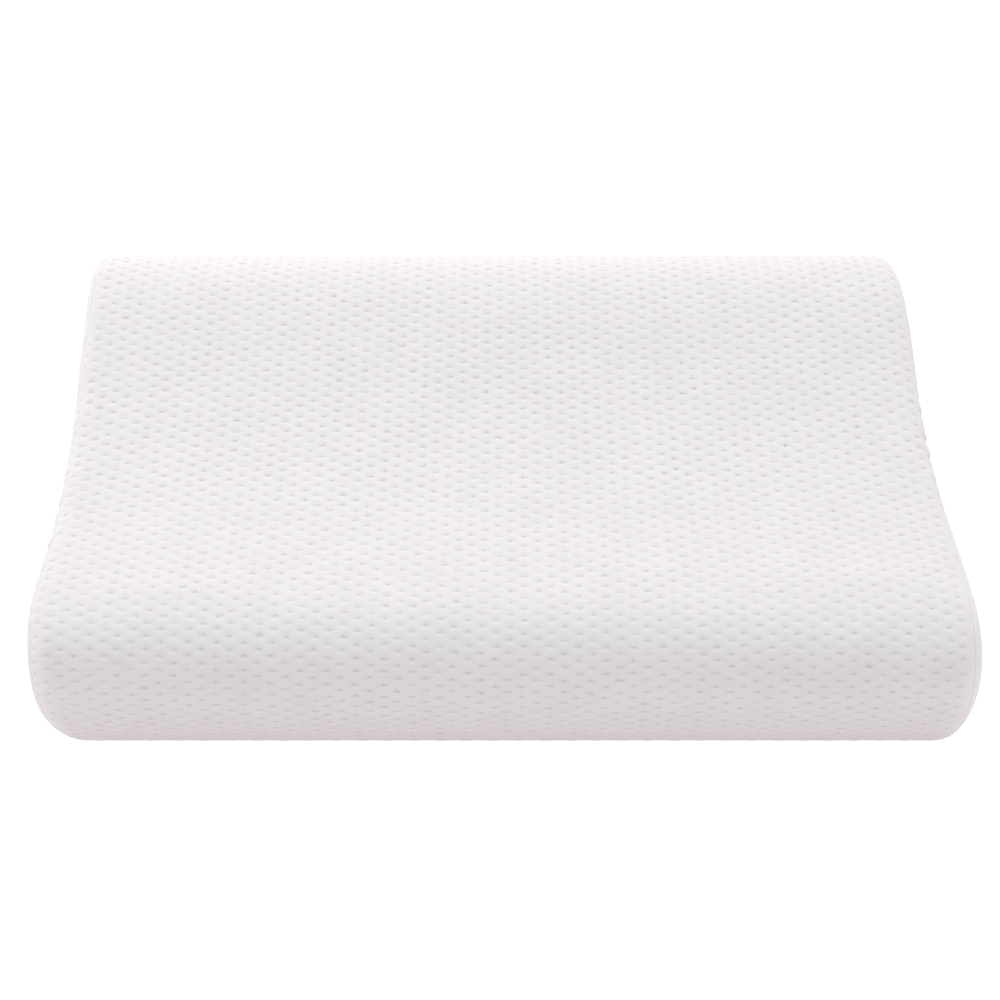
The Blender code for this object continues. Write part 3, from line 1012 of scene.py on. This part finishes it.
def jerseyMaterial():
    material, add = startMaterial("bleachedJersey")
    coordinates = add("TexCoord")
    parts = add("SeparateXYZ", (coordinates.outputs["Object"],))
    ribTurn = 2.0 * math.pi / (jersey["ribSpacing"] * mm)
    courseTurn = ribTurn * jersey["courseCrowding"]
    ribs = add("Math", (parts.outputs[1], ribTurn), operation="MULTIPLY")
    ribWave = add("Math", (ribs,), operation="COSINE")
    courses = add("Math", (parts.outputs[2], courseTurn), operation="MULTIPLY")
    courseWave = add("Math", (courses,), operation="SINE")
    knitWave = add("Math", (courseWave, jersey["courseShare"], ribWave), operation="MULTIPLY_ADD")
    return finishKnit(material, add, jersey, mottledWhite(add, coordinates, jersey), knitWave)


wrapCover.data.materials.append(doubleKnitMaterial())
panelCloth = jerseyMaterial()
endPanelLeft.data.materials.append(panelCloth)
endPanelRight.data.materials.append(panelCloth)
print("materials made")

# A plain pale floor that shows near white and lights the pillow from below as warm white paper
# would, soft boxes behind, in front and at both sides, and pale light from all round.
studio = {
    "floorHalf": 30.0,
    "paper": "#EBDDDE",
    "shownShare": 0.25,  # how much of its own shade the floor shows, the rest is plain white
    "shownWhite": 0.94,
    "skyLight": 0.47,
    "boxes": {
        # name: place, side, watts and colour; each faces the pillow's middle
        "boxBehind": ((-0.2, 1.9, 0.75), 1.2, 11.5, "#FDFCFF"),
        "boxHighBehind": ((-0.3, 1.6, 1.5), 1.2, 18.3, "#FDFCFF"),
        "boxInFront": ((0.0, -2.0, 0.9), 1.4, 8.4, "#FFFFFF"),
        "boxHighInFront": ((0.0, -1.5, 1.7), 1.4, 3.6, "#FFFFFF"),
        "boxLeft": ((-2.2, 0.0, 0.5), 1.2, 14.2, "#FFFFFF"),
        "boxRight": ((2.2, 0.0, 0.5), 1.2, 13.2, "#FFFFFF"),
    },
}


def mixByCamera(add, light, shown, output):
    # the first lights the pillow, and the second is what the camera sees
    seen = add("LightPath")
    mixed = add("MixShader", (seen.outputs["Is Camera Ray"], light, shown))
    add(output, {"Surface": mixed})


def makeFloor():
    half = studio["floorHalf"]
    corners = [(-half, -half, 0.0), (half, -half, 0.0), (half, half, 0.0), (-half, half, 0.0)]
    mesh = bpy.data.meshes.new("studioFloor")
    mesh.from_pydata(corners, [], [(0, 1, 2, 3)])
    paper, add = startMaterial("warmWhitePaper")
    paper.node_tree.nodes.clear()
    bare = add("BsdfDiffuse", {"Color": linearColour(studio["paper"])})
    shown = add("BsdfDiffuse", {"Color": (studio["shownShare"],) * 3 + (1.0,)})
    glow = add("Emission", {"Strength": studio["shownWhite"]})
    mixByCamera(add, bare, add("AddShader", (shown, glow)), "OutputMaterial")
    mesh.materials.append(paper)
    addObject("studioFloor", mesh)


def makeSky():
    world = bpy.data.worlds.new("softSky")
    bpy.context.scene.world = world
    world.use_nodes = True
    world.node_tree.nodes.clear()
    add = partial(addNode, world.node_tree)
    white = linearColour("#FFFFFF")
    light = add("Background", {"Color": white, "Strength": studio["skyLight"]})
    shown = add("Background", {"Color": white, "Strength": 1.0})
    mixByCamera(add, light, shown, "OutputWorld")


def makeBoxes():
    for name, (place, side, watts, colour) in studio["boxes"].items():
        light = bpy.data.lights.new(name, "AREA")
        light.shape = "SQUARE"
        light.size = side
        light.energy = watts
        light.color = linearColour(colour)[:3]
        lamp = addObject(name, light)
        lamp.location = place
        lamp.rotation_euler = (-Vector(place)).to_track_quat("-Z", "Y").to_euler()
        lamp.visible_camera = False


makeFloor()
makeSky()
makeBoxes()
bpy.context.scene.view_settings.view_transform = "Standard"
print("studio lit")

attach(wrapCover, "root")
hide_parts("pillow_body")
for panel, node in ((endPanelLeft, "end_panel_left"), (endPanelRight, "end_panel_right")):
    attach(panel, "root")
    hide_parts(node)
